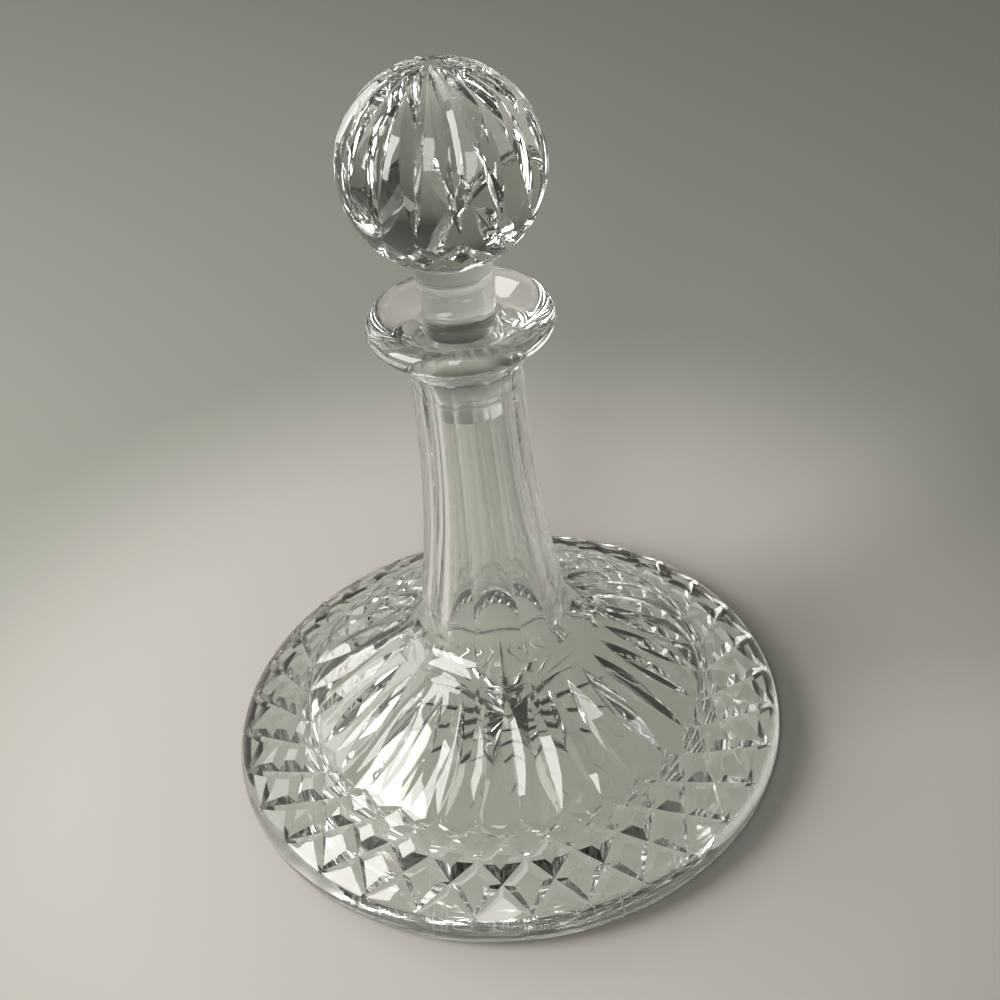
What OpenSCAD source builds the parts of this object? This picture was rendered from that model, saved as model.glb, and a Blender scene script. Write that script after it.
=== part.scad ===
// Cut crystal ship's decanter: a wide low bottle and a ball stopper, in millimetres.
// The origin is the middle of the base, with +Z up the neck.

/* [Body] */
// Diameter over the widest part of the base
body_d = 200; // [180:1:220]
// Radius of the rounded edge between the base and the cone
rim_round = 8; // [6:0.5:10]
// Slope of the conical body above the horizontal, in degrees
body_slope = 33; // [30:0.5:36]
// Thickness of the conical wall
wall = 7; // [6:0.5:9]
// Thickness of the bottom
base_t = 8; // [7:0.5:11]
// Radius inside the rim, where the wall meets the bottom
cavity_edge_round = 9; // [5:0.5:10]

/* [Neck] */
// Height of the decanter without its stopper
body_h = 183; // [170:1:200]
// Number of flat panels cut round the neck
panel_count = 10; // [8:2:12]
// Distance across opposite panels at the neck's narrowest
neck_flats = 33.8; // [32:0.2:37]
// Height of the neck's narrowest place
neck_waist_z = 150; // [140:1:156]
// Lengthwise radius of the panels
panel_sweep = 460; // [380:10:600]
// Radius of the scooped lower end of each panel
panel_foot_r = 18; // [14:1:24]
// Depth to which that end bites into the cone
panel_foot_bite = 0.7; // [0.4:0.1:1.2]
// Radius of the scooped upper end of each panel
panel_head_r = 10; // [8:0.5:11]

/* [Lip] */
// Diameter of the pouring lip
lip_d = 58.5; // [54:0.5:64]
// Thickness of the lip at its edge
lip_t = 8.6; // [7.6:0.2:11]
// Fall of the dished top from the lip to the mouth, in degrees
dish_slope = 25; // [15:1:30]

/* [Seat] */
// Diameter of the ground seat at the mouth
seat_d = 22.4; // [21:0.2:23.6]
// Length of the ground seat
seat_len = 31; // [26:1:36]
// Taper of the seat, as diameter lost for each millimetre of length
seat_taper = 0.1; // [0.06:0.01:0.12]
// Gap between the ground plug and its seat, square to the axis
seat_clearance = 0.15; // [0.1:0.05:0.3]

/* [Stopper] */
// Diameter of the ball
ball_d = 61; // [54:1:64]
// Height of the ball's middle above the lip
ball_rise = 46.5; // [42:0.5:52]
// Length by which the plug stops short of the seat's lower end
plug_short = 2; // [1:0.5:5]

/* [Cutting] */
// Number of diamonds round the body, and of upright wedges above them
diamond_count = 32; // [28:2:36]
// Radius at the lower points of the diamond band
band_low_r = 97; // [94:0.5:98]
// Radius at the upper points of the diamond band
band_high_r = 72; // [68:1:76]
// Radius at the upper tips of the wedges
wedge_tip_r = 38; // [38:1:48]
// Depth of the diamond grooves at their middle
groove_depth = 2.6; // [1.8:0.1:3]
// Angle between the walls of the diamond grooves, in degrees
groove_angle = 108; // [90:2:110]
// Depth of the wedges at their middle
wedge_depth = 2.5; // [1.8:0.1:3]
// Angle between the walls of the wedges, in degrees
wedge_angle = 114; // [96:2:116]
// Number of points of the star cut in the base
star_points = 16; // [12:2:24]
// Radius to the star's points
star_r = 46; // [36:1:56]
// Depth of the star at its middle
star_depth = 2.4; // [1.5:0.1:3.5]
// Number of flutes on the ball, and of diamonds under them
ball_cuts = 16; // [14:2:18]
// Depth of the ball's flutes at their middle
ball_flute_depth = 3; // [2:0.2:3.4]
// Depth of the ball's diamond grooves at their middle
ball_groove_depth = 1.7; // [1.2:0.1:2]

/* [Hidden] */
$fn = 96;
arc_steps = 8;

// The cone runs from the rounded rim to the foot of the neck
lip_r = lip_d / 2;
lip_round = lip_t / 2 - 0.1;
lip_under_slope = 42;
flare_round = 14;
mouth_round = 1.6;
base_corner_r = body_d / 2 - rim_round + rim_round / tan(body_slope / 2);
function cone_z(r) = (base_corner_r - r) * tan(body_slope);

// The blown blank stands a little outside the panels that are cut from it
blank_over = 0.6;
blank_r = neck_flats / 2 / cos(180 / panel_count) + blank_over;
blank_foot_r = 29;

// The lip is a rounded edge between the dished top and the flare
dish_corner_z = body_h - lip_round + lip_round * (1 / cos(dish_slope) + tan(dish_slope));
under_corner_z = body_h - lip_t + lip_round - lip_round * (1 / cos(lip_under_slope) - tan(lip_under_slope));
flare_z = under_corner_z - (lip_r - blank_r) * tan(lip_under_slope);

// The ground seat
seat_top_z = dish_corner_z - (lip_r - seat_d / 2) * tan(dish_slope);
seat_low_z = seat_top_z - seat_len;
function seat_r(z) = seat_d / 2 - (seat_top_z - z) * seat_taper / 2;

// The cavity follows the cone, and the throat widens down to meet it
throat_r = seat_r(seat_low_z) + 0.7;
throat_z = 112;
throat_round = 300;
cavity_foot_r = 21;
cavity_foot_round = 9;
function cavity_z(r) = cone_z(r) - wall / cos(body_slope);
cavity_edge_r = base_corner_r - (base_t + wall / cos(body_slope)) / tan(body_slope);

// Rounds the corners [x, y, radius] of an outline with tangent arcs
function unit(v) = v / norm(v);
function wrap(a) = a > 180 ? a - 360 : a < -180 ? a + 360 : a;
function flat_point(c) = [c.x, c.y];
function corner_arc(mid, from, to, r) =
  let (a = atan2(from.y - mid.y, from.x - mid.x), turn = wrap(atan2(to.y - mid.y, to.x - mid.x) - a))
  [for (i = [0:arc_steps]) mid + r * [cos(a + turn * i / arc_steps), sin(a + turn * i / arc_steps)]];
function corner(before, at, after, r) =
  let (u = unit(before - at), v = unit(after - at), half = acos(u * v) / 2)
  r == 0 ? [at] : corner_arc(at + unit(u + v) * r / sin(half), at + u * r / tan(half), at + v * r / tan(half), r);
function rounded(c) =
  let (n = len(c))
  [for (i = [0:n - 1])
    each corner(flat_point(c[(i + n - 1) % n]), flat_point(c[i]), flat_point(c[(i + 1) % n]), c[i].z)];

// Half section of the blown blank with its cavity
blank_section = [
  [0, 0, 0],
  [base_corner_r, 0, rim_round],
  [blank_foot_r, cone_z(blank_foot_r), 0],
  [blank_r, flare_z, flare_round],
  [lip_r, under_corner_z, lip_round],
  [lip_r, dish_corner_z, lip_round],
  [seat_d / 2, seat_top_z, mouth_round],
  [seat_r(seat_low_z), seat_low_z, 0],
  [throat_r, throat_z, throat_round],
  [cavity_foot_r, cavity_z(cavity_foot_r), cavity_foot_round],
  [cavity_edge_r, base_t, cavity_edge_round],
  [0, base_t, 0]
];

// Panels: a long sweep up the neck, scooped out at both ends.
// Each circle is turned so that its seam stays outside the glass.
panel_crease = 0.3;
panel_width = 28;
panel_reach = 44;
panel_head_z = flare_z - flare_round * tan((90 - lip_under_slope) / 2);
function panel_r(z) = neck_flats / 2 + (neck_waist_z - z) * (neck_waist_z - z) / panel_sweep / 2;
function foot_mid(z, tries) =
  let (r = panel_r(z) + panel_foot_r - panel_crease)
  tries == 0 ? [r, z] : foot_mid(cone_z(r) + (panel_foot_r - panel_foot_bite) / cos(body_slope), tries - 1);
panel_foot = foot_mid(70, 6);

module panel_profile() {
  intersection() {
    translate([neck_flats / 2 + panel_sweep, neck_waist_z]) rotate(90) circle(panel_sweep, $fn = 720);
    translate([0, panel_foot.y]) square([panel_reach, panel_head_z - panel_foot.y]);
  }
  translate(panel_foot) rotate(90) circle(panel_foot_r);
  translate([neck_flats / 2 + panel_head_r - panel_crease, panel_head_z]) rotate(90) circle(panel_head_r);
}

// Every second panel stands a little higher, so that no two panels' ends meet at one point
panel_stagger = 0.2;

module neck_panels() {
  for (i = [0:panel_count - 1])
    rotate([0, 0, -90 + i * 360 / panel_count])
      translate([0, 0, i % 2 * panel_stagger])
        rotate([90, 0, 0])
          linear_extrude(height = panel_width, center = true) panel_profile();
}

// V-shaped bar along X, with its keel on the axis and its mouth upwards
v_bar_h = 8;
module v_bar(length, angle) {
  rotate([90, 0, 90])
    linear_extrude(height = length, center = true)
      polygon([[0, 0], [v_bar_h * tan(angle / 2), v_bar_h], [-v_bar_h * tan(angle / 2), v_bar_h]]);
}

// Mitre cut along X: level in its middle third, running out at both ends, where the glass has fallen by end_fall
module mitre_cut(half, depth, end_fall, angle) {
  level = half / 3;
  run_out = atan((depth - end_fall) / (half - level));
  bar_length = 3 * half;
  translate([0, 0, -depth])
    intersection() {
      v_bar(bar_length, angle);
      translate([level, 0, 0]) rotate([0, -run_out, 0]) v_bar(bar_length, angle);
      translate([-level, 0, 0]) rotate([0, run_out, 0]) v_bar(bar_length, angle);
    }
}

// Stands children on the cone at a radius, with X downhill and Z square to the glass
module on_cone(r, azimuth) {
  rotate([0, 0, azimuth])
    translate([r, 0, cone_z(r)])
      rotate([0, body_slope, 0]) children();
}

// Diamond band: each groove is straight on the unrolled cone and climbs two steps of the pattern.
// The grooves cut second are a little shallower, so the first ones run through every crossing.
diamond_step = 360 / diamond_count;
groove_overrun = 1.5;
groove_second_less = 0.3;
groove_low = [band_low_r / cos(body_slope), 0];
groove_turn = 2 * diamond_step * cos(body_slope);
groove_high = band_high_r / cos(body_slope) * [cos(groove_turn), sin(groove_turn)];
groove_mid = (groove_low + groove_high) / 2;
groove_mid_r = norm(groove_mid) * cos(body_slope);
groove_mid_turn = atan2(groove_mid.y, groove_mid.x);
groove_lean = atan2(groove_low.y - groove_high.y, groove_low.x - groove_high.x) - groove_mid_turn;
groove_half = norm(groove_high - groove_low) / 2 + groove_overrun;
groove_fall = groove_half * groove_half / 2 * pow(sin(groove_lean), 2) * sin(body_slope) / groove_mid_r;

module diamond_grooves(side, depth) {
  for (i = [0:diamond_count - 1])
    on_cone(groove_mid_r, -90 + i * diamond_step + side * groove_mid_turn / cos(body_slope))
      rotate([0, 0, side * groove_lean]) mitre_cut(groove_half, depth, groove_fall, groove_angle);
}

// Wedges: one upright cut above each upper point of the diamond band
wedge_gap = 1;
wedge_low_r = band_high_r - wedge_gap;
wedge_mid_r = (wedge_low_r + wedge_tip_r) / 2;
wedge_half = (wedge_low_r - wedge_tip_r) / 2 / cos(body_slope);

module wedges() {
  for (i = [0:diamond_count - 1])
    on_cone(wedge_mid_r, -90 + i * diamond_step) mitre_cut(wedge_half, wedge_depth, 0, wedge_angle);
}

// Star under the base, deepest at its middle
star_waist_r = 9;
star_outline = [for (i = [0:2 * star_points - 1])
  (i % 2 == 0 ? star_r : star_waist_r) * [cos(i * 180 / star_points), sin(i * 180 / star_points)]];

module base_star() {
  linear_extrude(height = star_depth, scale = 0) polygon(star_outline);
}

module decanter_body() {
  color([0.86, 0.91, 0.9])
    difference() {
      rotate_extrude() polygon(rounded(blank_section));
      neck_panels();
      diamond_grooves(1, groove_depth);
      diamond_grooves(-1, groove_depth - groove_second_less);
      wedges();
      base_star();
    }
}

// Ball flutes: V grooves that follow the ball from its crown to below its middle
ball_r = ball_d / 2;
ball_z = body_h + ball_rise;
ball_cut_angle = 100;
flute_crown = 8;
flute_low = 104;
flute_half = (flute_low - flute_crown) / 2;
flute_rise = 90 - (flute_low + flute_crown) / 2;
flute_back = ball_flute_depth * (ball_d - ball_flute_depth) / 2
  / (ball_r * (1 - cos(flute_half)) - ball_flute_depth);
flute_keel_r = ball_r - ball_flute_depth + flute_back;
flute_sweep = atan2(ball_r * sin(flute_half), ball_r * cos(flute_half) + flute_back) + 6;
flute_h = 6;
flute_w = flute_h * tan(ball_cut_angle / 2);

module ball_flutes() {
  for (i = [0:ball_cuts - 1])
    rotate([0, 0, -90 + (i + 0.5) * 360 / ball_cuts])
      rotate([0, -flute_rise, 0])
        translate([-flute_back, 0, 0])
          rotate([0, flute_sweep, 0])
            rotate([90, 0, 0])
              rotate_extrude(angle = 2 * flute_sweep)
                polygon([[flute_keel_r, 0], [flute_keel_r + flute_h, -flute_w], [flute_keel_r + flute_h, flute_w]]);
}

// Ball diamonds: two crossing rings of straight V grooves under the flutes
ball_band = 123;
ball_groove_len = 26;
ball_groove_second_less = 0.2;

module ball_grooves(side, depth) {
  for (i = [0:ball_cuts - 1])
    rotate([0, 0, -90 + i * 360 / ball_cuts])
      rotate([0, ball_band, 0])
        translate([0, 0, ball_r - depth])
          rotate([0, 0, side * 45]) v_bar(ball_groove_len, ball_cut_angle);
}

// Ground plug: the seat's taper carried up to the ball
plug_low_z = seat_low_z + plug_short;
plug_top_z = ball_z - ball_r + 10;
plug_end_round = 1.2;
function plug_r(z) = seat_r(z) - seat_clearance;
plug_section = [
  [0, plug_low_z, 0],
  [plug_r(plug_low_z), plug_low_z, plug_end_round],
  [plug_r(plug_top_z), plug_top_z, 0],
  [0, plug_top_z, 0]
];

module stopper() {
  color([0.86, 0.91, 0.9]) {
    translate([0, 0, ball_z])
      difference() {
        sphere(ball_r);
        ball_flutes();
        ball_grooves(1, ball_groove_depth);
        ball_grooves(-1, ball_groove_depth - ball_groove_second_less);
      }
    rotate_extrude() polygon(rounded(plug_section));
  }
}

decanter_body();
stopper();
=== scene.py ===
"""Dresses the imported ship's decanter in cut crystal and sets it on a pale floor in soft window light.

The bottle and the stopper are spun from their half sections and then cut, as the glass is: neck panels,
diamond grooves, upright wedges and a base star on the bottle, flutes and diamonds on the ball.
The pieces' sizes are in millimetres until a mesh is finished, and the studio's are in metres.
"""

import logging
import math
from dataclasses import dataclass, field
from enum import Enum

import bmesh
import bpy
from mathutils import Matrix, Vector


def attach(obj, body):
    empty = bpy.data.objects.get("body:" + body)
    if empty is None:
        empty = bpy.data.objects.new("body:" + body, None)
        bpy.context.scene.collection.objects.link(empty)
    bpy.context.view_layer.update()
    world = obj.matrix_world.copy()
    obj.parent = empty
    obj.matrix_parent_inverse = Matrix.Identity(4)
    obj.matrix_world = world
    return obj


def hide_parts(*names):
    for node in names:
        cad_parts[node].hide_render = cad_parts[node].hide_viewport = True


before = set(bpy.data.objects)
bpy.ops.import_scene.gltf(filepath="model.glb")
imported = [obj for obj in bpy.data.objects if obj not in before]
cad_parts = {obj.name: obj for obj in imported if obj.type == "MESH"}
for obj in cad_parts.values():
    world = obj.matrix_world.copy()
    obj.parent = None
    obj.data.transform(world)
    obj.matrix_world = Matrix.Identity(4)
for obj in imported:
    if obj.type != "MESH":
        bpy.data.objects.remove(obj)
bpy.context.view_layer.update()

LOG = logging.getLogger("decanter")
MM = 0.001
TURN = 2 * math.pi
# Azimuth of the front, in degrees
FRONT = -90.0
SHARP_ANGLE = math.radians(9)
WELD_GAP = 0.001 * MM

Triple = tuple[float, float, float]
Socket = bpy.types.NodeSocket
MeshPart = bmesh.types.BMVert | bmesh.types.BMEdge | bmesh.types.BMFace


class Finish(Enum):
    """What a patch of glass has been through, in the order of the material slots."""

    POLISHED = 0
    CUT = 1
    BLOWN = 2
    GROUND = 3
    WORN = 4
    RIM = 5
    FOOT = 6


class NodeSheet:
    """A node tree with short ways to add nodes and join them."""

    def __init__(self, tree: bpy.types.NodeTree) -> None:
        """Keeps the tree that the nodes go into."""
        self.tree = tree

    def add(
        self, kind: str, settings: dict[str, object] | None = None, **sockets: object
    ) -> bpy.types.Node:
        """Adds a node.

        Args:
            kind: Type of the node, without the ShaderNode that starts its name.
            settings: Properties of the node itself.
            sockets: Values for its inputs, by their names with underscores for spaces.

        Returns:
            The new node.
        """
        node = self.tree.nodes.new("ShaderNode" + kind)
        for name, value in (settings or {}).items():
            setattr(node, name, value)
        for name, value in sockets.items():
            node.inputs[name.replace("_", " ")].default_value = value
        return node

    def join(self, source: Socket, target: Socket) -> None:
        """Links an output to an input."""
        self.tree.links.new(source, target)

    def math(self, operation: str, first: Socket, second: Socket) -> Socket:
        """Adds a Math node.

        Args:
            operation: Name of the operation.
            first: Socket of the first operand.
            second: Socket of the second operand.

        Returns:
            The result's socket.
        """
        node = self.add("Math", {"operation": operation})
        self.join(first, node.inputs[0])
        self.join(second, node.inputs[1])
        return node.outputs[0]

    def blend(self, first: Triple, second: Triple, share: Socket) -> Socket:
        """Adds a Mix node between two colours.

        Args:
            first: Colour where the share is 0.
            second: Colour where it is 1.
            share: Socket of the share.

        Returns:
            The mixed colour's socket.
        """
        node = self.add("Mix", {"data_type": "RGBA"})
        node.inputs["A"].default_value = (*first, 1.0)
        node.inputs["B"].default_value = (*second, 1.0)
        self.join(share, node.inputs["Factor"])
        return node.outputs["Result"]

    def ease(self, value: Socket, low: float, high: float) -> Socket:
        """Adds a Map Range node that eases from 0 to 1.

        Args:
            value: Socket of the value.
            low: Value that gives 0.
            high: Value that gives 1.

        Returns:
            The eased value's socket.
        """
        node = self.add("MapRange", {"interpolation_type": "SMOOTHSTEP"}, From_Min=low, From_Max=high)
        self.join(value, node.inputs["Value"])
        return node.outputs["Result"]


class GlassEffects:
    """Node groups that the crystal finishes share."""

    def __init__(self) -> None:
        """Builds the groups once."""
        self.waviness = self._waviness()
        self.film = self._film()
        self.scratches = self._scratches()

    @staticmethod
    def _group(
        name: str, inputs: dict[str, float], outputs: list[str]
    ) -> tuple[NodeSheet, bpy.types.Node, bpy.types.Node]:
        """Starts a group.

        Args:
            name: Name of the group.
            inputs: Its number inputs with their usual values.
            outputs: Its number outputs.

        Returns:
            The group's sheet, its input node and its output node.
        """
        tree = bpy.data.node_groups.new(name, "ShaderNodeTree")
        for label, value in inputs.items():
            socket = tree.interface.new_socket(label, in_out="INPUT", socket_type="NodeSocketFloat")
            socket.default_value = value
        for label in outputs:
            tree.interface.new_socket(label, in_out="OUTPUT", socket_type="NodeSocketFloat")
        start = tree.nodes.new("NodeGroupInput")
        end = tree.nodes.new("NodeGroupOutput")
        return NodeSheet(tree), start, end

    def _waviness(self) -> bpy.types.NodeTree:
        """Slow unevenness that glass keeps from the blowing iron and the polishing wheel.

        Returns:
            The group, whose Height is for a Bump node.
        """
        inputs = {"Waves per metre": 60.0, "Softness": 0.3}
        sheet, start, end = self._group("crystal_waviness", inputs, ["Height"])
        place = sheet.add("TexCoord")
        noise = sheet.add("TexNoise", Detail=1.5, Distortion=0.4)
        sheet.join(place.outputs["Object"], noise.inputs["Vector"])
        sheet.join(start.outputs["Waves per metre"], noise.inputs["Scale"])
        sheet.join(start.outputs["Softness"], noise.inputs["Roughness"])
        sheet.join(noise.outputs["Fac"], end.inputs["Height"])
        return sheet.tree

    def _film(self) -> bpy.types.NodeTree:
        """Thin film of handling: cloudy patches with finer smears in them.

        Returns:
            The group, with a Roughness and a Haze mask.
        """
        inputs = {"Clean": 0.0, "Filmed": 0.05}
        sheet, start, end = self._group("handling_film", inputs, ["Roughness", "Haze"])
        place = sheet.add("TexCoord")
        patches = sheet.add("TexNoise", Scale=34.0, Detail=3.0, Roughness=0.55)
        smears = sheet.add("TexNoise", Scale=420.0, Detail=2.0, Distortion=1.2)
        for noise in (patches, smears):
            sheet.join(place.outputs["Object"], noise.inputs["Vector"])
        lift = sheet.add("MapRange", From_Min=0.5, From_Max=0.78)
        sheet.join(patches.outputs["Fac"], lift.inputs["Value"])
        haze = sheet.math("MULTIPLY", lift.outputs["Result"], smears.outputs["Fac"])
        rough = sheet.add("MapRange")
        sheet.join(haze, rough.inputs["Value"])
        sheet.join(start.outputs["Clean"], rough.inputs["To Min"])
        sheet.join(start.outputs["Filmed"], rough.inputs["To Max"])
        sheet.join(rough.outputs["Result"], end.inputs["Roughness"])
        sheet.join(haze, end.inputs["Haze"])
        return sheet.tree

    def _scratches(self) -> bpy.types.NodeTree:
        """Fine scratches in two directions, such as a foot gets from standing on tables.

        Returns:
            The group, whose Mask is 1 on a scratch.
        """
        inputs = {"Lines per metre": 900.0, "Share": 0.3}
        sheet, start, end = self._group("fine_scratches", inputs, ["Mask"])
        place = sheet.add("TexCoord")
        masks = []
        for turn in (0.5, 2.1):
            lay = sheet.add("Mapping", Rotation=(0.0, 0.0, turn), Scale=(1.0, 0.03, 1.0))
            sheet.join(place.outputs["Object"], lay.inputs["Vector"])
            noise = sheet.add("TexNoise", Detail=3.0, Roughness=0.7)
            sheet.join(lay.outputs["Vector"], noise.inputs["Vector"])
            sheet.join(start.outputs["Lines per metre"], noise.inputs["Scale"])
            lift = sheet.add("MapRange", From_Min=0.58, From_Max=0.66)
            sheet.join(noise.outputs["Fac"], lift.inputs["Value"])
            masks.append(lift.outputs["Result"])
        both = sheet.math("MAXIMUM", *masks)
        sheet.join(sheet.math("MULTIPLY", both, start.outputs["Share"]), end.inputs["Mask"])
        return sheet.tree


@dataclass(frozen=True)
class CrystalFinish:
    """One finish of the same lead crystal.

    Its roughness goes from clean to filmed where the glass has been handled. A face lets a share
    light_in of plain light into the glass and light_out of it out again: a low share gives a shadow.
    """

    name: str
    clean: float
    filmed: float
    waves_per_metre: float
    wave_height_mm: float
    scratch_share: float = 0.0
    tint: Triple = (1.0, 1.0, 1.0)
    haze_tint: Triple = (0.97, 0.975, 0.965)
    ior: float = 1.545
    light_in: float = 1.0
    light_out: float = 0.99
    depth_colour: Triple = (0.85, 0.88, 0.84)
    depth_density: float = 1.0

    def material(self, effects: GlassEffects) -> bpy.types.Material:
        """Makes the finish's material.

        Args:
            effects: Node groups that the finishes share.

        Returns:
            The new material.
        """
        material = bpy.data.materials.new(self.name)
        material.use_nodes = True
        material.node_tree.nodes.clear()
        sheet = NodeSheet(material.node_tree)
        glass = sheet.add("BsdfPrincipled", Metallic=0.0, IOR=self.ior, Transmission_Weight=1.0)
        film = sheet.add("Group", {"node_tree": effects.film}, Clean=self.clean, Filmed=self.filmed)
        waves = sheet.add("Group", {"node_tree": effects.waviness}, Waves_per_metre=self.waves_per_metre)
        bump = sheet.add("Bump", Strength=1.0, Distance=self.wave_height_mm * MM)
        tint = sheet.blend(self.tint, self.haze_tint, film.outputs["Haze"])
        rough = film.outputs["Roughness"]
        height = waves.outputs["Height"]
        if self.scratch_share > 0:
            marks = sheet.add("Group", {"node_tree": effects.scratches}, Share=self.scratch_share)
            rough = sheet.math("ADD", rough, marks.outputs["Mask"])
            height = sheet.math("SUBTRACT", height, marks.outputs["Mask"])
        sheet.join(tint, glass.inputs["Base Color"])
        sheet.join(rough, glass.inputs["Roughness"])
        sheet.join(height, bump.inputs["Height"])
        sheet.join(bump.outputs["Normal"], glass.inputs["Normal"])
        self._let_light_through(sheet, glass)
        return material

    def _let_light_through(self, sheet: NodeSheet, glass: bpy.types.Node) -> None:
        """Passes shadow and bounce light straight on, and gives the glass its faint colour in depth.

        Args:
            sheet: The material's sheet.
            glass: Its shader.
        """
        path = sheet.add("LightPath")
        side = sheet.add("NewGeometry")
        through = sheet.add("BsdfTransparent")
        share = sheet.blend((self.light_in,) * 3, (self.light_out,) * 3, side.outputs["Backfacing"])
        sheet.join(share, through.inputs["Color"])
        mix = sheet.add("MixShader")
        plain = sheet.math("MAXIMUM", path.outputs["Is Shadow Ray"], path.outputs["Is Diffuse Ray"])
        sheet.join(plain, mix.inputs[0])
        sheet.join(glass.outputs["BSDF"], mix.inputs[1])
        sheet.join(through.outputs["BSDF"], mix.inputs[2])
        depth = sheet.add("VolumeAbsorption", Color=(*self.depth_colour, 1.0), Density=self.depth_density)
        end = sheet.add("OutputMaterial")
        sheet.join(mix.outputs["Shader"], end.inputs["Surface"])
        sheet.join(depth.outputs["Volume"], end.inputs["Volume"])


class CrystalSet:
    """The seven finishes as one ordered set of materials."""

    FINISHES: dict[Finish, CrystalFinish] = {
        Finish.POLISHED: CrystalFinish(
            "polished_crystal", clean=0.0, filmed=0.04,
            waves_per_metre=55.0, wave_height_mm=0.03, light_in=0.1,
        ),
        Finish.CUT: CrystalFinish(
            "cut_crystal", clean=0.0, filmed=0.025,
            waves_per_metre=240.0, wave_height_mm=0.008, light_in=0.1,
        ),
        Finish.BLOWN: CrystalFinish(
            "blown_inner_crystal", clean=0.0, filmed=0.03,
            waves_per_metre=38.0, wave_height_mm=0.08,
        ),
        Finish.GROUND: CrystalFinish(
            "ground_crystal", clean=0.16, filmed=0.26,
            waves_per_metre=2600.0, wave_height_mm=0.015,
        ),
        Finish.WORN: CrystalFinish(
            "worn_base_crystal", clean=0.02, filmed=0.1,
            waves_per_metre=90.0, wave_height_mm=0.03, scratch_share=0.25,
        ),
        Finish.RIM: CrystalFinish(
            "rim_crystal", clean=0.0, filmed=0.05,
            waves_per_metre=70.0, wave_height_mm=0.04, light_in=0.1,
        ),
        Finish.FOOT: CrystalFinish(
            "foot_ring_crystal", clean=0.3, filmed=0.45,
            waves_per_metre=300.0, wave_height_mm=0.02, scratch_share=0.1,
        ),
    }

    def __init__(self) -> None:
        """Makes each material once."""
        effects = GlassEffects()
        self.materials = [self.FINISHES[finish].material(effects) for finish in Finish]

    def dress(self, piece: bpy.types.Object) -> None:
        """Gives a piece all the finishes, in slot order."""
        for material in self.materials:
            piece.data.materials.append(material)


@dataclass(frozen=True)
class Corner:
    """One corner of a half section, with the finish of the line that leads to it and of its arc."""

    x: float
    z: float
    radius: float = 0.0
    line: Finish = Finish.POLISHED
    arc: Finish = Finish.POLISHED

    @property
    def at(self) -> Vector:
        """The corner's place in the plane of the section."""
        return Vector((self.x, 0.0, self.z))


class SectionPen:
    """Draws one run of a half section, all of one finish, and spins it."""

    LEAST_STEPS = 2

    def __init__(self, start: Vector, finish: Finish) -> None:
        """Puts the pen down.

        Args:
            start: Where the run starts.
            finish: The run's finish.
        """
        self.mesh = bmesh.new()
        self.tip = self.mesh.verts.new(start)
        self.finish = finish

    def line(self, to: Vector) -> None:
        """Draws a straight line.

        Args:
            to: Where it ends.
        """
        drawn = bmesh.ops.extrude_vert_indiv(self.mesh, verts=[self.tip])
        bmesh.ops.translate(self.mesh, verts=drawn["verts"], vec=to - self.tip.co)
        self.tip = drawn["verts"][0]

    def arc(self, centre: Vector, turn: float, step: float) -> None:
        """Draws an arc.

        Args:
            centre: Its centre.
            turn: Angle that it turns through.
            step: Longest angle between two of its points.
        """
        steps = max(self.LEAST_STEPS, math.ceil(abs(turn) / step))
        drawn = bmesh.ops.spin(
            self.mesh, geom=[self.tip], cent=centre, axis=(0, 1, 0), angle=turn, steps=steps
        )
        self.tip = points_of(drawn["geom_last"])[0]

    def spin_into(self, blank: bmesh.types.BMesh, steps: int) -> None:
        """Spins the run through a full turn and adds it to a blank.

        Args:
            blank: The solid so far.
            steps: Number of faces round the turn.
        """
        parts = [*self.mesh.verts, *self.mesh.edges]
        bmesh.ops.spin(
            self.mesh, geom=parts, cent=(0, 0, 0), axis=(0, 0, 1),
            angle=TURN, steps=steps, use_merge=True,
        )
        for face in self.mesh.faces:
            face.material_index = self.finish.value
        run = bpy.data.meshes.new("section_run")
        self.mesh.to_mesh(run)
        self.mesh.free()
        blank.from_mesh(run)
        bpy.data.meshes.remove(run)


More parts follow.
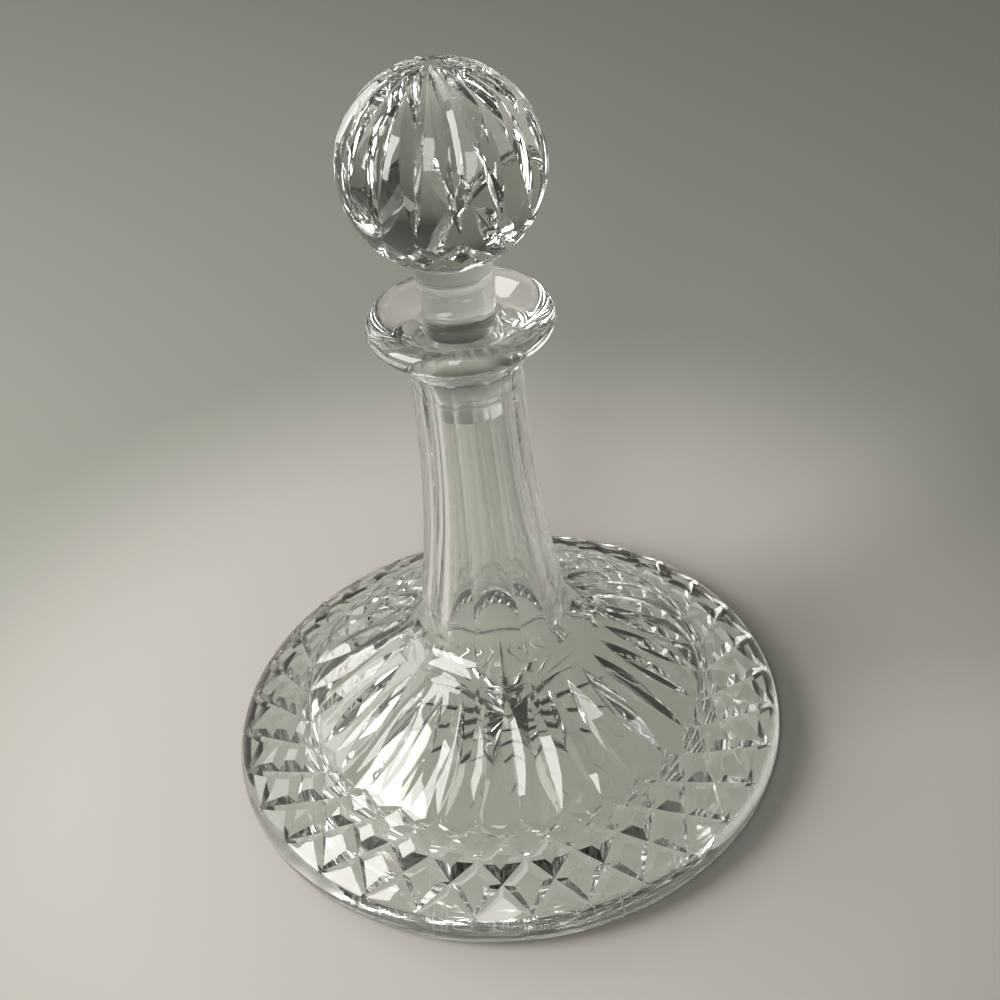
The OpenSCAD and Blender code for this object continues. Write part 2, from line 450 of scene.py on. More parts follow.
@dataclass
class HalfSection:
    """A half section that starts on the axis and is spun into a closed blank.

    It ends on the axis at its last corner, or in a ball whose middle stands at ball_z.
    """

    corners: list[Corner]
    ball_z: float | None = None
    spin_steps: int = 288
    arc_step: float = math.radians(4.0)
    weld_gap: float = 1e-4
    pen: SectionPen = field(init=False)

    def blank(self) -> bmesh.types.BMesh:
        """Spins the section into a closed solid.

        Returns:
            The solid, in millimetres.
        """
        mesh = bmesh.new()
        self.pen = SectionPen(self.corners[0].at, self.corners[1].line)
        for before, here, after in zip(self.corners, self.corners[1:], [*self.corners[2:], None]):
            self._change(mesh, here.line)
            if not after or not here.radius:
                self.pen.line(here.at)
                continue
            back, on = (before.at - here.at).normalized(), (after.at - here.at).normalized()
            half = back.angle(on) / 2
            setback = here.radius / math.tan(half)
            centre = here.at + (back + on).normalized() * (here.radius / math.sin(half))
            self.pen.line(here.at + back * setback)
            self._change(mesh, here.arc)
            self._arc_to(centre, here.at + on * setback)
        if self.ball_z is not None:
            self._change(mesh, Finish.POLISHED)
            centre = Vector((0, 0, self.ball_z))
            self._arc_to(centre, centre + Vector((0, 0, (self.pen.tip.co - centre).length)))
        self.pen.spin_into(mesh, self.spin_steps)
        bmesh.ops.remove_doubles(mesh, verts=mesh.verts, dist=self.weld_gap)
        bmesh.ops.recalc_face_normals(mesh, faces=mesh.faces)
        return mesh

    def _change(self, mesh: bmesh.types.BMesh, finish: Finish) -> None:
        """Spins what is drawn and goes on with another finish, unless it is the same.

        Args:
            mesh: The solid so far.
            finish: The finish from here on.
        """
        if finish != self.pen.finish:
            tip = self.pen.tip.co.copy()
            self.pen.spin_into(mesh, self.spin_steps)
            self.pen = SectionPen(tip, finish)

    def _arc_to(self, centre: Vector, to: Vector) -> None:
        """Draws the shorter arc about a centre to a point."""
        start, end = self.pen.tip.co - centre, to - centre
        self.pen.arc(centre, math.atan2(start.cross(end).y, start.dot(end)), self.arc_step)


class CutterTray:
    """Cutters of one pass: solids that don't touch each other, as one mesh.

    The rim of a wheel is drawn PAST_ENDS times as far as its cut reaches.
    """

    PAST_ENDS = 1.25
    SWEEP_STEP = math.radians(2.0)
    LEAST_STEPS = 8

    def __init__(self, name: str) -> None:
        """Starts an empty tray."""
        self.name = name
        self.mesh = bmesh.new()

    def v_wheel(
        self, half: float, depth: float, fall: float, angle: float, over: float, place: Matrix
    ) -> None:
        """Adds the rim of a V-edged wheel, which cuts deepest in its middle and runs out at both ends.

        Args:
            half: Half the length of the cut.
            depth: Depth in its middle.
            fall: How far the glass has fallen away at its ends.
            angle: Angle between the walls, in degrees.
            over: Height of the rim above the glass.
            place: Where the cut's middle lies, with X along it and Z out of the glass.
        """
        rise = depth - fall
        wheel_r = (half * half + rise * rise) / (2 * rise)
        centre = Vector((0, 0, wheel_r - depth))
        reach = self.PAST_ENDS * math.asin(half / wheel_r)
        self._swept_v(depth + over, angle, Vector((0, 0, -depth)), centre, reach, place)

    def v_ring(
        self, keel_r: float, height: float, angle: float, back: float, reach: float, place: Matrix
    ) -> None:
        """Adds a ring of V section that follows a ball.

        Args:
            keel_r: Radius of the keel.
            height: Height of the V.
            angle: Angle between its walls, in degrees.
            back: How far the ring's centre stands behind the ball's.
            reach: Angle from the ring's middle to each end.
            place: The ball's frame, with X out through the cut's middle.
        """
        turn_up = Matrix.Rotation(math.pi / 2, 4, "Y")
        keel, centre = Vector((0, 0, keel_r - back)), Vector((0, 0, -back))
        self._swept_v(height, angle, keel, centre, reach, place @ turn_up)

    def v_bar(self, half: float, depth: float, angle: float, over: float, place: Matrix) -> None:
        """Adds a straight bar of V section.

        Args:
            half: Half the length of the bar.
            depth: Depth of its keel.
            angle: Angle between its walls, in degrees.
            over: Height of the bar above the glass.
            place: Where the cut's middle lies, with X along it and Z out of the glass.
        """
        face = self._v_face(depth + over, angle, Vector((-half, 0, -depth)))
        grown = bmesh.ops.extrude_face_region(self.mesh, geom=[face])
        bmesh.ops.translate(self.mesh, verts=points_of(grown["geom"]), vec=(2 * half, 0, 0))
        self._put(face, place)

    def _v_face(self, height: float, angle: float, keel: Vector) -> bmesh.types.BMFace:
        """Draws the V section in the YZ plane.

        Args:
            height: Height of the V.
            angle: Angle between its walls, in degrees.
            keel: Place of its keel.

        Returns:
            The section's face.
        """
        half_width = height * math.tan(math.radians(angle) / 2)
        points = [keel, keel + Vector((0, half_width, height)), keel + Vector((0, -half_width, height))]
        return self.mesh.faces.new([self.mesh.verts.new(point) for point in points])

    def _swept_v(
        self, height: float, angle: float, keel: Vector, centre: Vector, reach: float, place: Matrix
    ) -> None:
        """Sweeps a V section both ways about a centre.

        Args:
            height: Height of the V.
            angle: Angle between its walls, in degrees.
            keel: Place of the keel in the cut's middle.
            centre: Centre of the sweep, whose axis is along Y.
            reach: Angle from the middle to each end.
            place: Where the cut goes.
        """
        face = self._v_face(height, angle, keel)
        to_start = Matrix.Rotation(-reach, 3, "Y")
        bmesh.ops.rotate(self.mesh, verts=face.verts, cent=centre, matrix=to_start)
        parts = [face, *face.edges, *face.verts]
        steps = max(self.LEAST_STEPS, math.ceil(2 * reach / self.SWEEP_STEP))
        bmesh.ops.spin(
            self.mesh, geom=parts, cent=centre, axis=(0, 1, 0), angle=2 * reach, steps=steps
        )
        self._put(face, place)

    def _put(self, face: bmesh.types.BMFace, place: Matrix) -> None:
        """Moves a finished solid to its place.

        Args:
            face: Any face of the solid.
            place: Where it goes.
        """
        found, waiting = set(face.verts), list(face.verts)
        while waiting:
            for edge in waiting.pop().link_edges:
                fresh = set(edge.verts) - found
                found |= fresh
                waiting += fresh
        bmesh.ops.transform(self.mesh, verts=list(found), matrix=place)

    def repeat(self, count: int, first: float) -> None:
        """Repeats what is on the tray round the axis.

        Args:
            count: Number of copies in a full turn.
            first: Azimuth of the first one, in degrees.
        """
        to_first = Matrix.Rotation(math.radians(first), 3, "Z")
        bmesh.ops.rotate(self.mesh, verts=self.mesh.verts, matrix=to_first)
        parts = [*self.mesh.verts, *self.mesh.edges, *self.mesh.faces]
        bmesh.ops.spin(
            self.mesh, geom=parts, cent=(0, 0, 0), axis=(0, 0, 1),
            angle=TURN * (count - 1) / count, steps=count - 1, use_duplicate=True,
        )

    def cutter(self, crystal: CrystalSet) -> bpy.types.Object:
        """Finishes the tray as one cutter object whose cuts take the cut finish.

        Args:
            crystal: The finishes.

        Returns:
            The cutter, in metres.
        """
        bmesh.ops.recalc_face_normals(self.mesh, faces=self.mesh.faces)
        for face in self.mesh.faces:
            face.material_index = Finish.CUT.value
        return finished(self.name, self.mesh, crystal)


def points_of(parts: list[MeshPart]) -> list[bmesh.types.BMVert]:
    """Picks the points out of what an operator made."""
    return [part for part in parts if isinstance(part, bmesh.types.BMVert)]


def about_z(degrees: float) -> Matrix:
    """A turn about the upright axis."""
    return Matrix.Rotation(math.radians(degrees), 4, "Z")


def finished(name: str, mesh: bmesh.types.BMesh, crystal: CrystalSet) -> bpy.types.Object:
    """Makes an object at the origin from a mesh in millimetres.

    Args:
        name: Name of the object.
        mesh: Its shape, which is freed.
        crystal: The finishes.

    Returns:
        The object.
    """
    bmesh.ops.scale(mesh, vec=(MM, MM, MM), verts=mesh.verts)
    data = bpy.data.meshes.new(name)
    mesh.to_mesh(data)
    mesh.free()
    piece = bpy.data.objects.new(name, data)
    bpy.context.scene.collection.objects.link(piece)
    crystal.dress(piece)
    return piece


def carve(blank: bpy.types.Object, cutters: list[bpy.types.Object]) -> None:
    """Takes the cutters out of a blank, one pass after another, and shades what is left.

    Args:
        blank: The piece to cut.
        cutters: The passes in order, which are used up.
    """
    for cutter in cutters:
        cut = blank.modifiers.new(cutter.name, "BOOLEAN")
        cut.operation, cut.solver, cut.object = "DIFFERENCE", "MANIFOLD", cutter
    bpy.context.view_layer.update()
    ready = blank.evaluated_get(bpy.context.evaluated_depsgraph_get())
    uncut, carved = blank.data, bpy.data.meshes.new_from_object(ready)
    blank.modifiers.clear()
    blank.data = carved
    for used in (uncut, *(cutter.data for cutter in cutters)):
        bpy.data.meshes.remove(used)
    carved.name = blank.name
    weld(carved)
    carved.shade_smooth()
    carved.set_sharp_from_angle(angle=SHARP_ANGLE)


def weld(data: bpy.types.Mesh) -> None:
    """Joins points that the cutting left in one place, so that no sliver stays between them.

    Args:
        data: The mesh to clean.
    """
    mesh = bmesh.new()
    mesh.from_mesh(data)
    bmesh.ops.remove_doubles(mesh, verts=mesh.verts, dist=WELD_GAP)
    mesh.to_mesh(data)
    mesh.free()


@dataclass
class DecanterBody:
    """The bottle: a wide cone with a cut neck, a dished lip and a ground seat."""

    # Cone, rim and foot
    body_d: float = 200.0
    rim_round: float = 8.0
    foot_ring_r: float = 88.5
    body_slope: float = 33.0
    wall: float = 7.0
    base_t: float = 8.0
    body_h: float = 183.0
    # Neck and its panels
    panel_count: int = 10
    neck_flats: float = 33.8
    neck_waist_z: float = 150.0
    panel_sweep: float = 460.0
    panel_steps: int = 24
    panel_reach: float = 30.0
    panel_foot_r: float = 18.0
    panel_foot_bite: float = 0.7
    panel_foot_guess_z: float = 70.0
    panel_foot_rounds: int = 6
    panel_head_r: float = 10.0
    panel_half_width: float = 11.6
    panel_crease: float = 0.3
    scoop_steps: int = 144
    blank_over: float = 0.6
    blank_foot_r: float = 29.0
    # Lip, dish and seat
    lip_d: float = 58.5
    lip_t: float = 8.6
    lip_land: float = 0.1
    lip_under_slope: float = 42.0
    flare_round: float = 14.0
    mouth_round: float = 1.6
    dish_slope: float = 25.0
    seat_d: float = 22.4
    seat_len: float = 31.0
    seat_taper: float = 0.1
    # Cavity
    throat_wider: float = 0.7
    throat_z: float = 112.0
    throat_round: float = 300.0
    cavity_foot_r: float = 21.0
    cavity_foot_round: float = 9.0
    cavity_edge_round: float = 9.0
    # Diamond band and wedges
    diamond_count: int = 32
    band_low_r: float = 97.0
    band_high_r: float = 72.0
    groove_depth: float = 2.6
    groove_second_less: float = 0.3
    groove_angle: float = 108.0
    groove_overrun: float = 3.0
    wedge_gap: float = 1.0
    wedge_tip_r: float = 38.0
    wedge_depth: float = 2.5
    wedge_angle: float = 114.0
    wheel_over: float = 1.5
    # Star under the base
    star_points: int = 16
    star_r: float = 46.0
    star_waist_r: float = 9.0
    star_depth: float = 2.4
    star_below: float = 0.3

    def __post_init__(self) -> None:
        """Works out the places that follow from the sizes."""
        slope, dish, under = map(math.radians, (self.body_slope, self.dish_slope, self.lip_under_slope))
        self.slope = slope
        self.corner_r = self.body_d / 2 - self.rim_round + self.rim_round / math.tan(slope / 2)
        self.lip_r = self.lip_d / 2
        self.lip_round = self.lip_t / 2 - self.lip_land
        self.blank_r = self.neck_flats / 2 / math.cos(math.pi / self.panel_count) + self.blank_over
        top_z = self.body_h - self.lip_round
        low_z = self.body_h - self.lip_t + self.lip_round
        self.dish_z = top_z + self.lip_round * (1 / math.cos(dish) + math.tan(dish))
        self.under_z = low_z - self.lip_round * (1 / math.cos(under) - math.tan(under))
        self.flare_z = self.under_z - (self.lip_r - self.blank_r) * math.tan(under)
        self.seat_top_z = self.dish_z - (self.lip_r - self.seat_d / 2) * math.tan(dish)
        self.seat_low_z = self.seat_top_z - self.seat_len
        self.panel_head_z = self.flare_z - self.flare_round * math.tan((math.pi / 2 - under) / 2)

    def cone_z(self, r: float) -> float:
        """Height of the cone at a radius."""
        return (self.corner_r - r) * math.tan(self.slope)

    def seat_r(self, z: float) -> float:
        """Radius of the ground seat at a height."""
        return self.seat_d / 2 - (self.seat_top_z - z) * self.seat_taper / 2

    def on_cone(self, r: float, azimuth: float = 0.0) -> Matrix:
        """A place on the cone with X downhill and Z out of the glass."""
        up = Matrix.Translation((r, 0, self.cone_z(r)))
        return about_z(azimuth) @ up @ Matrix.Rotation(self.slope, 4, "Y")

    def section(self) -> HalfSection:
        """Draws the half section of the blown blank with its cavity.

        Returns:
            The section.
        """
        under_wall = self.wall / math.cos(self.slope)
        edge_r = self.corner_r - (self.base_t + under_wall) / math.tan(self.slope)
        cavity_foot_z = self.cone_z(self.cavity_foot_r) - under_wall
        seat_low_r = self.seat_r(self.seat_low_z)
        blown = {"line": Finish.BLOWN, "arc": Finish.BLOWN}
        return HalfSection([
            Corner(0, 0),
            Corner(self.foot_ring_r, 0, 0, Finish.WORN),
            Corner(self.corner_r, 0, self.rim_round, Finish.FOOT, Finish.RIM),
            Corner(self.blank_foot_r, self.cone_z(self.blank_foot_r)),
            Corner(self.blank_r, self.flare_z, self.flare_round),
            Corner(self.lip_r, self.under_z, self.lip_round),
            Corner(self.lip_r, self.dish_z, self.lip_round),
            Corner(self.seat_d / 2, self.seat_top_z, self.mouth_round),
            Corner(seat_low_r, self.seat_low_z, 0, Finish.GROUND),
            Corner(seat_low_r + self.throat_wider, self.throat_z, self.throat_round, **blown),
            Corner(self.cavity_foot_r, cavity_foot_z, self.cavity_foot_round, **blown),
            Corner(edge_r, self.base_t, self.cavity_edge_round, **blown),
            Corner(0, self.base_t, 0, **blown),
        ])

    def panel_trays(self) -> list[CutterTray]:
        """Lays out the neck panels: for every second panel a long sweep, a foot scoop and a head scoop.

        Returns:
            The trays in order.
        """
        foot_r, foot_z = self._panel_foot()
        head_r = self.neck_flats / 2 + self.panel_head_r - self.panel_crease
        trays = []
        for start in (0, 1):
            sweep, foot, head = (CutterTray(f"panel_{name}_{start}") for name in ("sweep", "foot", "head"))
            self._sweep(sweep, foot_z)
            self._scoop(foot, Vector((foot_r, 0, foot_z)), self.panel_foot_r)
            self._scoop(head, Vector((head_r, 0, self.panel_head_z)), self.panel_head_r)
            for tray in (sweep, foot, head):
                tray.repeat(self.panel_count // 2, FRONT + start * 360 / self.panel_count)
                trays.append(tray)
        return trays

    def _panel_foot(self) -> tuple[float, float]:
        """Finds the middle of a foot scoop, which ends the long sweep and bites a little into the cone.

        Returns:
            Its radius and its height.
        """
        z = self.panel_foot_guess_z
        for _ in range(self.panel_foot_rounds):
            sweep_r = self.neck_flats / 2 + (self.neck_waist_z - z) ** 2 / self.panel_sweep / 2
            r = sweep_r + self.panel_foot_r - self.panel_crease
            z = self.cone_z(r) + (self.panel_foot_r - self.panel_foot_bite) / math.cos(self.slope)
        return r, z

    def _sweep(self, tray: CutterTray, foot_z: float) -> None:
        """Adds the long sweep of one panel, from its foot to its head.

        Args:
            tray: The tray that it goes on.
            foot_z: Height of its foot.
        """
        mesh = tray.mesh
        flat_r, waist_z = self.neck_flats / 2, self.neck_waist_z
        centre = Vector((flat_r + self.panel_sweep, 0, waist_z))
        low, high = (math.asin((z - waist_z) / self.panel_sweep) for z in (foot_z, self.panel_head_z))
        first = mesh.verts.new((flat_r, -self.panel_half_width, waist_z))
        bmesh.ops.rotate(mesh, verts=[first], cent=centre, matrix=Matrix.Rotation(low, 3, "Y"))
        bmesh.ops.spin(
            mesh, geom=[first], cent=centre, axis=(0, 1, 0), angle=high - low, steps=self.panel_steps
        )
        side = bmesh.ops.extrude_edge_only(mesh, edges=[*mesh.edges])
        bmesh.ops.translate(mesh, verts=points_of(side["geom"]), vec=(self.panel_reach, 0, 0))
        block = bmesh.ops.extrude_face_region(mesh, geom=[*mesh.faces])
        across = (0, 2 * self.panel_half_width, 0)
        bmesh.ops.translate(mesh, verts=points_of(block["geom"]), vec=across)

    def _scoop(self, tray: CutterTray, centre: Vector, radius: float) -> None:
        """Adds the round scoop that ends one panel.

        Args:
            tray: The tray that it goes on.
            centre: The scoop's middle.
            radius: Its radius.
        """
        place = Matrix.Translation(centre) @ Matrix.Rotation(math.pi / 2, 4, "X")
        bmesh.ops.create_cone(
            tray.mesh, cap_ends=True, segments=self.scoop_steps, radius1=radius, radius2=radius,
            depth=2 * self.panel_half_width, matrix=place,
        )

    def groove_tray(self, side: int, depth: float) -> CutterTray:
        """Lays out the diamond grooves that lean one way.

        A groove is straight on the unrolled cone, and crosses two steps of the pattern.

        Args:
            side: 1 or -1, the way that they lean.
            depth: Their depth.

        Returns:
            The tray.
        """
        spread = math.cos(self.slope)
        step = TURN / self.diamond_count
        turn = 2 * step * spread
        low = Vector((self.band_low_r / spread, 0))
        high = self.band_high_r / spread * Vector((math.cos(turn), math.sin(turn)))
        middle = (low + high) / 2
        middle_turn = math.atan2(middle.y, middle.x)
        middle_r = middle.length * spread
        lean = math.atan2(low.y - high.y, low.x - high.x) - middle_turn
        half = (high - low).length / 2 + self.groove_overrun
        fall = half * half / 2 * math.sin(lean) ** 2 * math.sin(self.slope) / middle_r
        middle_place = self.on_cone(middle_r, side * math.degrees(middle_turn / spread))
        place = middle_place @ Matrix.Rotation(side * lean, 4, "Z")
        tray = CutterTray(f"diamond_grooves_{side}")
        tray.v_wheel(half, depth, fall, self.groove_angle, self.wheel_over, place)
        tray.repeat(self.diamond_count, FRONT)
        return tray

    def wedge_tray(self) -> CutterTray:
        """Lays out the upright wedges above the diamond band.

        Returns:
            The tray.
        """
        low_r = self.band_high_r - self.wedge_gap
        half = (low_r - self.wedge_tip_r) / 2 / math.cos(self.slope)
        place = self.on_cone((low_r + self.wedge_tip_r) / 2)
        tray = CutterTray("wedges")
        tray.v_wheel(half, self.wedge_depth, 0, self.wedge_angle, self.wheel_over, place)
        tray.repeat(self.diamond_count, FRONT)
        return tray

    def star_tray(self) -> CutterTray:
        """Lays out the star under the base, deepest at its middle.

        Returns:
            The tray.
        """
        tray = CutterTray("base_star")
        grown = 1 + self.star_below / self.star_depth
        place = Matrix.Translation((0, 0, (self.star_depth - self.star_below) / 2))
        bmesh.ops.create_cone(
            tray.mesh, cap_ends=True, segments=2 * self.star_points, radius1=self.star_r * grown, radius2=0,
            depth=self.star_depth + self.star_below, matrix=place,
        )
        step = math.pi / self.star_points
        rim = [vert for vert in tray.mesh.verts if vert.co.z < 0]
        waist = [vert for vert in rim if round(math.atan2(vert.co.y, vert.co.x) / step) % 2]
        shrink = self.star_waist_r / self.star_r
        bmesh.ops.scale(tray.mesh, vec=(shrink, shrink, 1), verts=waist)
        return tray

    def build(self, crystal: CrystalSet) -> bpy.types.Object:
        """Spins, cuts and dresses the bottle.

        Args:
            crystal: The finishes.

        Returns:
            The bottle.
        """
        bottle = finished("cut_bottle", self.section().blank(), crystal)
        trays = [
            *self.panel_trays(),
            self.groove_tray(1, self.groove_depth),
            self.groove_tray(-1, self.groove_depth - self.groove_second_less),
            self.wedge_tray(),
            self.star_tray(),
        ]
        carve(bottle, [tray.cutter(crystal) for tray in trays])
        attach(bottle, "decanter")
        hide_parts("decanter_body")
        return bottle


@dataclass
class BallStopper:
    """The stopper: a fluted ball on a ground plug."""

    bottle: DecanterBody
    ball_d: float = 61.0
    ball_rise: float = 46.5
    ball_cuts: int = 16
    turn: float = 16.5
    # Flutes and the diamonds under them, with angles from the crown
    flute_depth: float = 3.0
    cut_angle: float = 100.0
    flute_crown: float = 4.0
    flute_low: float = 104.0
    flute_past: float = 5.0
    flute_over: float = 1.2
    groove_depth: float = 1.7
    groove_second_less: float = 0.2
    groove_band: float = 123.0
    groove_half: float = 11.0
    groove_lean: float = 45.0
    groove_over: float = 0.9
    # Plug
    seat_clearance: float = 0.15
    plug_short: float = 2.0
    plug_end_round: float = 1.2
    plug_clear: float = 1.5
    meet_rounds: int = 8

    def __post_init__(self) -> None:
        """Works out the ball's radius, the place of its middle and the step of its pattern."""
        self.ball_r = self.ball_d / 2
        self.ball_z = self.bottle.body_h + self.ball_rise
        self.middle = Matrix.Translation((0, 0, self.ball_z))
        self.step = 360 / self.ball_cuts

    def plug_r(self, z: float) -> float:
        """Radius of the plug at a height."""
        return self.bottle.seat_r(z) - self.seat_clearance

    def section(self) -> HalfSection:
        """Draws the half section of the plug and the ball on it.

        Returns:
            The section.
        """
        low_z = self.bottle.seat_low_z + self.plug_short
        clear_z = self.bottle.seat_top_z - self.plug_clear
        meet_z = self.ball_z - self.ball_r
        for _ in range(self.meet_rounds):
            meet_z = self.ball_z - math.sqrt(self.ball_r**2 - self.plug_r(meet_z) ** 2)
        ground = {"line": Finish.GROUND, "arc": Finish.GROUND}
        return HalfSection([
            Corner(0, low_z),
            Corner(self.plug_r(low_z), low_z, self.plug_end_round, **ground),
            Corner(self.plug_r(clear_z), clear_z, 0, Finish.GROUND),
            Corner(self.plug_r(meet_z), meet_z),
        ], self.ball_z)

    def flute_trays(self) -> list[CutterTray]:
        """Lays out the flutes, two opposite ones to a tray because they crowd at the crown.

        Returns:
            The trays in order.
        """
        half = math.radians(self.flute_low - self.flute_crown) / 2
        rise = math.pi / 2 - math.radians(self.flute_low + self.flute_crown) / 2
        across, along = self.ball_r * math.sin(half), self.ball_r * math.cos(half)
        sag = self.ball_r * (1 - math.cos(half))
        back = self.flute_depth * (self.ball_d - self.flute_depth) / 2 / (sag - self.flute_depth)
        keel_r = self.ball_r - self.flute_depth + back
        height = self.flute_depth + self.flute_over
        reach = math.atan2(across, along + back) + math.radians(self.flute_past)
        place = self.middle @ Matrix.Rotation(-rise, 4, "Y")
        trays = []
        for i in range(self.ball_cuts // 2):
            tray = CutterTray(f"ball_flutes_{i}")
            tray.v_ring(keel_r, height, self.cut_angle, back, reach, place)
            tray.repeat(2, self.turn + FRONT + (i + 0.5) * self.step)
            trays.append(tray)
        return trays

    def groove_trays(self) -> list[CutterTray]:
        """Lays out the diamond grooves under the flutes, every second one to a tray.

        Returns:
            The trays in order.
        """
        to_band = Matrix.Rotation(math.radians(self.groove_band), 4, "Y")
        on_ball = self.middle @ to_band @ Matrix.Translation((0, 0, self.ball_r))
        trays = []
        for side, depth in ((1, self.groove_depth), (-1, self.groove_depth - self.groove_second_less)):
            place = on_ball @ about_z(side * self.groove_lean)
            for start in (0, 1):
                tray = CutterTray(f"ball_grooves_{side}_{start}")
                tray.v_bar(self.groove_half, depth, self.cut_angle, self.groove_over, place)
                tray.repeat(self.ball_cuts // 2, self.turn + FRONT + start * self.step)
                trays.append(tray)
        return trays

    def build(self, crystal: CrystalSet) -> bpy.types.Object:
        """Spins, cuts and dresses the stopper.

        Args:
            crystal: The finishes.

        Returns:
            The stopper.
        """
        stopper = finished("cut_stopper", self.section().blank(), crystal)
        trays = [*self.flute_trays(), *self.groove_trays()]
        carve(stopper, [tray.cutter(crystal) for tray in trays])
        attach(stopper, "stopper")
        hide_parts("stopper")
        return stopper


@dataclass(frozen=True)
class FloorWithPaintedShade:
    """Pale board that darkens to grey green a little way from the object.

    The grey green is partly the backdrop's own tone and partly painted shade: the darkening away from
    the object stands for light falling off on the backdrop, painted into the board's colour.
    """

    near: Triple = (0.62, 0.6, 0.555)
    # Far colour: the backdrop's grey-green tone with painted shade in it
    far: Triple = (0.36, 0.375, 0.325)
    near_r: float = 0.15
    far_r: float = 0.3
    roughness: float = 0.75

    def material(self) -> bpy.types.Material:
        """Makes the floor's material.

        Returns:
            The new material.
        """
        material = bpy.data.materials.new("pale_board_painted_shade")
        material.use_nodes = True
        sheet = NodeSheet(material.node_tree)
        board = material.node_tree.nodes["Principled BSDF"]
        board.inputs["Roughness"].default_value = self.roughness
        place = sheet.add("TexCoord")
        away = sheet.add("VectorMath", {"operation": "LENGTH"})
        sheet.join(place.outputs["Object"], away.inputs[0])
        # Painted shade: the board's colour darkens from near_r to far_r away from the object
        shade = sheet.ease(away.outputs["Value"], self.near_r, self.far_r)
        sheet.join(sheet.blend(self.near, self.far, shade), board.inputs["Base Color"])
        return material


@dataclass(frozen=True)
class RoomLight:
    """Dim light from all round that is stronger on one side."""

    bright_way: Triple = (-0.8, -0.2, 0.55)
    dark: Triple = (0.04, 0.044, 0.037)
    bright: Triple = (0.2, 0.205, 0.19)
    dark_end: float = -0.2
    bright_end: float = 0.95

    def fill(self) -> None:
        """Makes the world and lights it."""
        world = bpy.data.worlds.new("room")
        bpy.context.scene.world = world
        world.use_nodes = True
        sheet = NodeSheet(world.node_tree)
        back = world.node_tree.nodes["Background"]
        place = sheet.add("TexCoord")
        toward = sheet.add("VectorMath", {"operation": "DOT_PRODUCT"})
        toward.inputs[1].default_value = Vector(self.bright_way).normalized()
        sheet.join(place.outputs["Generated"], toward.inputs[0])
        share = sheet.ease(toward.outputs["Value"], self.dark_end, self.bright_end)
        sheet.join(sheet.blend(self.dark, self.bright, share), back.inputs["Color"])


@dataclass(frozen=True)
class Pane:
    """A soft lamp that shines along its own -Z."""

    name: str
    size: tuple[float, float]
    watts: float
    colour: Triple = (1.0, 0.965, 0.95)

    def hang(self, place: Matrix) -> None:
        """Hangs the lamp.

        Args:
            place: Where it hangs, with X along its width and Y up.
        """
        data = bpy.data.lights.new(self.name, "AREA")
        data.shape, data.size, data.size_y = "RECTANGLE", *self.size
        data.energy, data.color = self.watts, self.colour
        lamp = bpy.data.objects.new(self.name, data)
        lamp.matrix_world = place
        bpy.context.scene.collection.objects.link(lamp)

    def face_object(self, way: Triple, far: float) -> None:
        """Hangs the lamp so that it faces the object.

        Args:
            way: Direction to it from the object.
            far: Its distance.
        """
        out = Vector(way).normalized()
        self.hang(Matrix.Translation(out * far) @ out.to_track_quat("Z", "Y").to_matrix().to_4x4())


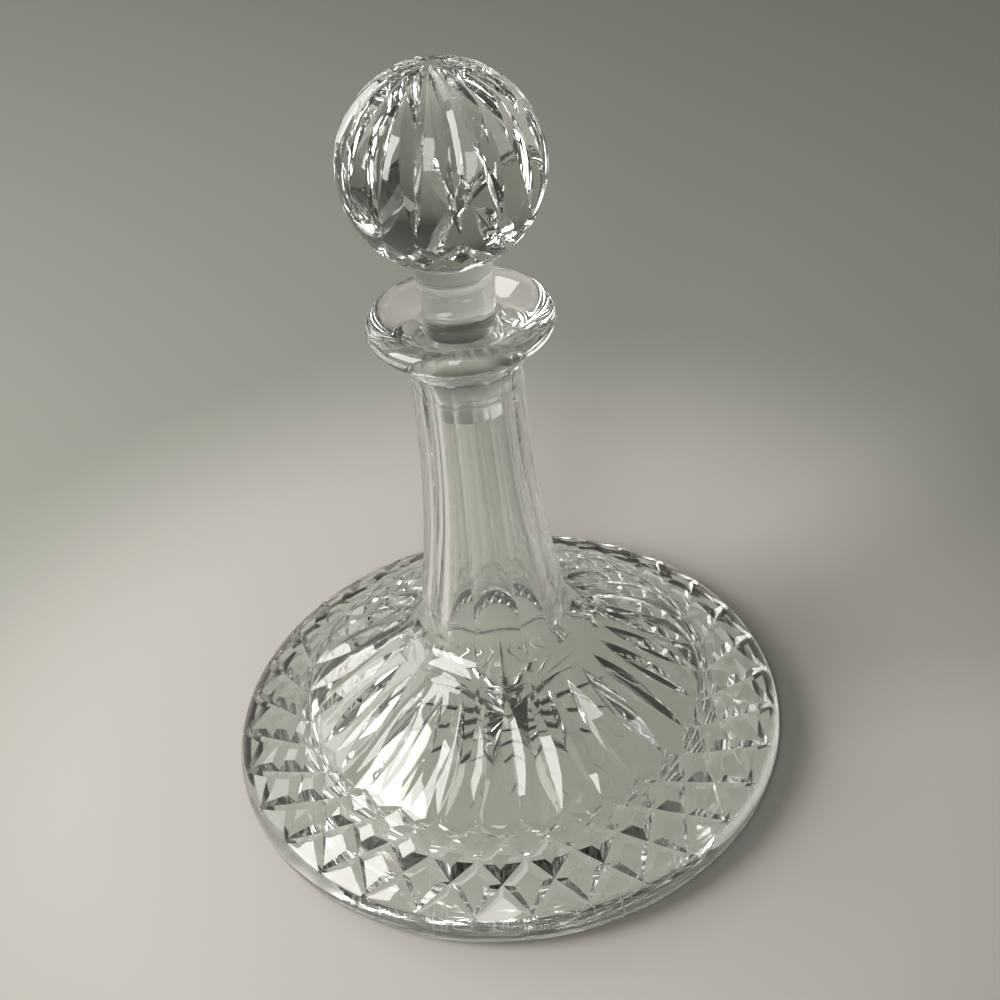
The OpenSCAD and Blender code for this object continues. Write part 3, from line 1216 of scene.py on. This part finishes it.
@dataclass
class Studio:
    """Floor, window light and camera."""

    floor_r: float = 4.0
    floor_steps: int = 96
    floor_gap: float = 0.0001
    lens: float = 54.0
    sensor: float = 36.0
    near_clip: float = 0.01
    camera_at: Triple = (0.0, -0.39684, 0.413309)
    camera_right: Triple = (0.99260098, -0.08303517, -0.08859146)
    camera_up: Triple = (0.120841, 0.60426254, 0.78756856)
    window_bearing: float = math.radians(218.0)
    window_far: float = 0.7
    window_front: float = 0.08
    window_back: float = 0.62
    window_sill: float = 0.3
    window_head: float = 0.96
    window_watts: float = 11.5

    def camera(self) -> None:
        """Sets the camera where the photograph was taken from."""
        data = bpy.data.cameras.new("camera")
        data.lens, data.sensor_width, data.clip_start = self.lens, self.sensor, self.near_clip
        camera = bpy.data.objects.new("camera", data)
        right, up = Vector(self.camera_right), Vector(self.camera_up)
        turn = Matrix((right, up, right.cross(up))).transposed().to_4x4()
        camera.matrix_world = Matrix.Translation(self.camera_at) @ turn
        bpy.context.scene.collection.objects.link(camera)
        bpy.context.scene.camera = camera

    def floor(self) -> None:
        """Lays the floor a hair below the foot, so that light leaves the glass before the board."""
        mesh = bmesh.new()
        down = Matrix.Translation((0, 0, -self.floor_gap))
        bmesh.ops.create_circle(
            mesh, cap_ends=True, segments=self.floor_steps, radius=self.floor_r, matrix=down
        )
        data = bpy.data.meshes.new("floor")
        mesh.to_mesh(data)
        mesh.free()
        data.materials.append(FloorWithPaintedShade().material())
        floor = bpy.data.objects.new("floor", data)
        bpy.context.scene.collection.objects.link(floor)

    def window(self) -> None:
        """Hangs the window: an upright soft lamp in a plane that slants past the object on its left."""
        out = Vector((math.cos(self.window_bearing), math.sin(self.window_bearing), 0.0))
        up = Vector((0.0, 0.0, 1.0))
        along = up.cross(out)
        middle = out * self.window_far
        middle -= along * (self.window_back + self.window_front) / 2
        middle += up * (self.window_head + self.window_sill) / 2
        place = Matrix.Translation(middle) @ Matrix((along, up, out)).transposed().to_4x4()
        size = (self.window_back - self.window_front, self.window_head - self.window_sill)
        Pane("window", size, self.window_watts).hang(place)

    def light(self) -> None:
        """Hangs the lamps and lets light cross many faces of the glass."""
        self.window()
        front_pane = Pane("front_pane", size=(0.27, 0.8), watts=4.2)
        front_pane.face_object(way=(-0.18, -0.7, 0.69), far=1.5)
        far_window = Pane("far_window", size=(1.3, 0.8), watts=9.0)
        far_window.face_object(way=(-1.4, 0.95, 0.9), far=1.9)
        RoomLight().fill()
        scene = bpy.context.scene
        scene.view_settings.view_transform = "Standard"
        scene.cycles.max_bounces = 32
        scene.cycles.transmission_bounces = 32
        scene.cycles.glossy_bounces = 12
        scene.cycles.transparent_max_bounces = 48

    def build(self) -> None:
        """Sets the whole stage."""
        self.camera()
        self.floor()
        self.light()


def main() -> None:
    """Builds the stage, the bottle and the stopper, and reports each piece."""
    logging.basicConfig(level=logging.INFO, format="%(name)s: %(message)s")
    Studio().build()
    crystal = CrystalSet()
    bottle = DecanterBody()
    for piece in (bottle.build(crystal), BallStopper(bottle).build(crystal)):
        piece.data.calc_loop_triangles()
        LOG.info("%s: %d triangles", piece.name, len(piece.data.loop_triangles))


if __name__ == "__main__":
    main()
